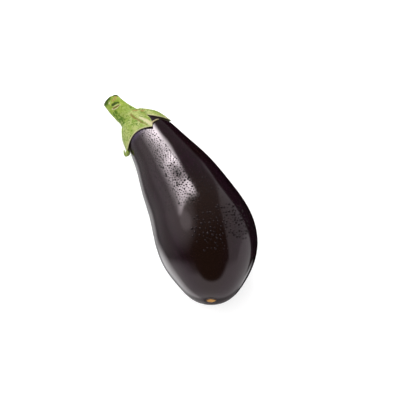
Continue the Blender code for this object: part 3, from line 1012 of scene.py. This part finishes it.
def floor():
    """A plain pale floor, which the glossy skin doesn't mirror."""
    half = FLOOR_SIZE / 2
    corners = [(-half, -half, 0), (half, -half, 0), (half, half, 0), (-half, half, 0)]
    plane = mesh_object("floor", corners, [(0, 1, 2, 3)])
    material, shader = new_material("floor_white", FLOOR_WHITE, 0.9)
    shader.inputs["Emission Color"].default_value = (1, 1, 1, 1)
    shader.inputs["Emission Strength"].default_value = FLOOR_GLOW
    plane.data.materials.append(material)
    plane.visible_glossy = False


def overhead_light():
    """A wide soft light over the table, which the glossy skin doesn't mirror."""
    light = bpy.data.lights.new("overhead", "AREA")
    light.shape = "SQUARE"
    light.size = LAMP_SIZE
    light.energy = LAMP_STRENGTH * math.pi * LAMP_SIZE**2
    lamp = bpy.data.objects.new("overhead", light)
    lamp.location = (0, 0, LAMP_HEIGHT)
    lamp.visible_glossy = False
    bpy.context.scene.collection.objects.link(lamp)


class Sky(NodeMaker):
    """Nodes that say how bright the room is in each direction."""

    def __init__(self):
        world = bpy.data.worlds.new("studio")
        world.use_nodes = True
        bpy.context.scene.world = world
        super().__init__(world.node_tree)
        self.background = self.nodes["Background"]
        self.background.inputs["Color"].default_value = (1, 1, 1, 1)
        self.way = self.nodes.new("ShaderNodeTexCoord").outputs["Generated"]

    def along(self, axis):
        """How far the direction points along an axis."""
        node = self.nodes.new("ShaderNodeVectorMath")
        node.operation = "DOT_PRODUCT"
        self.link(self.way, node.inputs[0])
        node.inputs[1].default_value = axis
        return node.outputs["Value"]

    def glow(self, azimuth, elevation, radius, soft, strength=1.0, outside=0.0):
        """A round patch of light or shade about a direction; sizes in degrees."""
        inner, outer = math.radians(radius - soft), math.radians(radius + soft)
        facing = self.along(direction(azimuth, elevation))
        return self.ramp(facing, math.cos(outer), math.cos(inner), outside, strength)


def surroundings():
    """A room with a dark ceiling, a wide low window in front, a softbox behind the neck, and smaller glows.

    Of the lights in one direction the brightest counts, and the shades dim all but the glint.
    """
    sky = Sky()
    up = sky.along((0, 0, 1))
    total = sky.ramp(sky.along((-1, 0, 0)), -0.2, 0.6, CEILING, BACK_WALL)
    window = sky.math("MULTIPLY", sky.glow(*WINDOW), sky.ramp(up, *WINDOW_TOP, 1.0, 0.0))
    for glow in (window, *(sky.glow(*glow) for glow in GLOWS), softbox(sky, up)):
        total = sky.math("MAXIMUM", total, glow)
    for *patch, left in SHADES:
        total = sky.math("MULTIPLY", total, sky.glow(*patch, left, 1.0))
    total = sky.math("MAXIMUM", total, sky.glow(*GLINT))
    sky.link(total, sky.background.inputs["Strength"])


def softbox(sky, up):
    """The light that the neck mirrors as a bright band, fading downwards and to the left."""
    across = sky.along(direction(SOFTBOX_LEFTWARD, 0))
    near, far, left = SOFTBOX_LEFT
    low, high, dim = SOFTBOX_LOW
    light = sky.glow(*SOFTBOX)
    for share in (
        sky.ramp(across, *SOFTBOX_RIGHT),
        sky.ramp(up, *SOFTBOX_TOP, 1.0, 0.0),
        sky.ramp(up, low, high, dim),
        sky.ramp(up, *SOFTBOX_FOOT),
        sky.ramp(across, near, far, 1.0, left, "LINEAR"),
    ):
        light = sky.math("MULTIPLY", light, share)
    return light


def camera():
    """Looks down on the middle of the fruit's length, as the photograph does."""
    target = Vector(lying([LINE[-1][0] / 2, 0, 0]))
    rise, turn = math.radians(90 - CAMERA_TILT), math.radians(CAMERA_TURN)
    back = Vector((math.cos(rise) * math.cos(turn), math.cos(rise) * math.sin(turn), math.sin(rise)))
    right = Vector((-math.sin(turn), math.cos(turn), 0))
    up = back.cross(right)
    lens = bpy.data.cameras.new("camera")
    lens.sensor_width = SENSOR_WIDTH
    lens.lens = SENSOR_WIDTH * FOCAL_LENGTH_IN_PIXELS / FRAME_PIXELS
    lens.shift_x = FRAMING_PIXELS[0] / FRAME_PIXELS
    lens.shift_y = FRAMING_PIXELS[1] / FRAME_PIXELS
    eye = bpy.data.objects.new("camera", lens)
    bpy.context.scene.collection.objects.link(eye)
    turned = Matrix((right, up, back)).transposed().to_4x4()
    eye.matrix_world = Matrix.Translation(target + back * CAMERA_DISTANCE) @ turned
    bpy.context.scene.camera = eye


def dress(piece, material, node):
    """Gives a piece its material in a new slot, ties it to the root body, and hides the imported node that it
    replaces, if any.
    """
    piece.data.materials.append(material)
    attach(piece, "root")
    if node:
        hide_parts(node)


dress(fruit_piece(), skin_material(), "fruit")
dress(drops_piece(), drop_material(), None)
green = calyx_material()
dress(calyx_piece(), green, "calyx_and_stem")
dress(tube_piece("calyx_hook", HOOK), green, None)
dress(tube_piece("dry_strand", STRAND), dry_material(), None)
dress(scar_piece(), scar_material(), "blossom_scar")
floor()
overhead_light()
surroundings()
camera()
bpy.context.scene.view_settings.view_transform = "Standard"
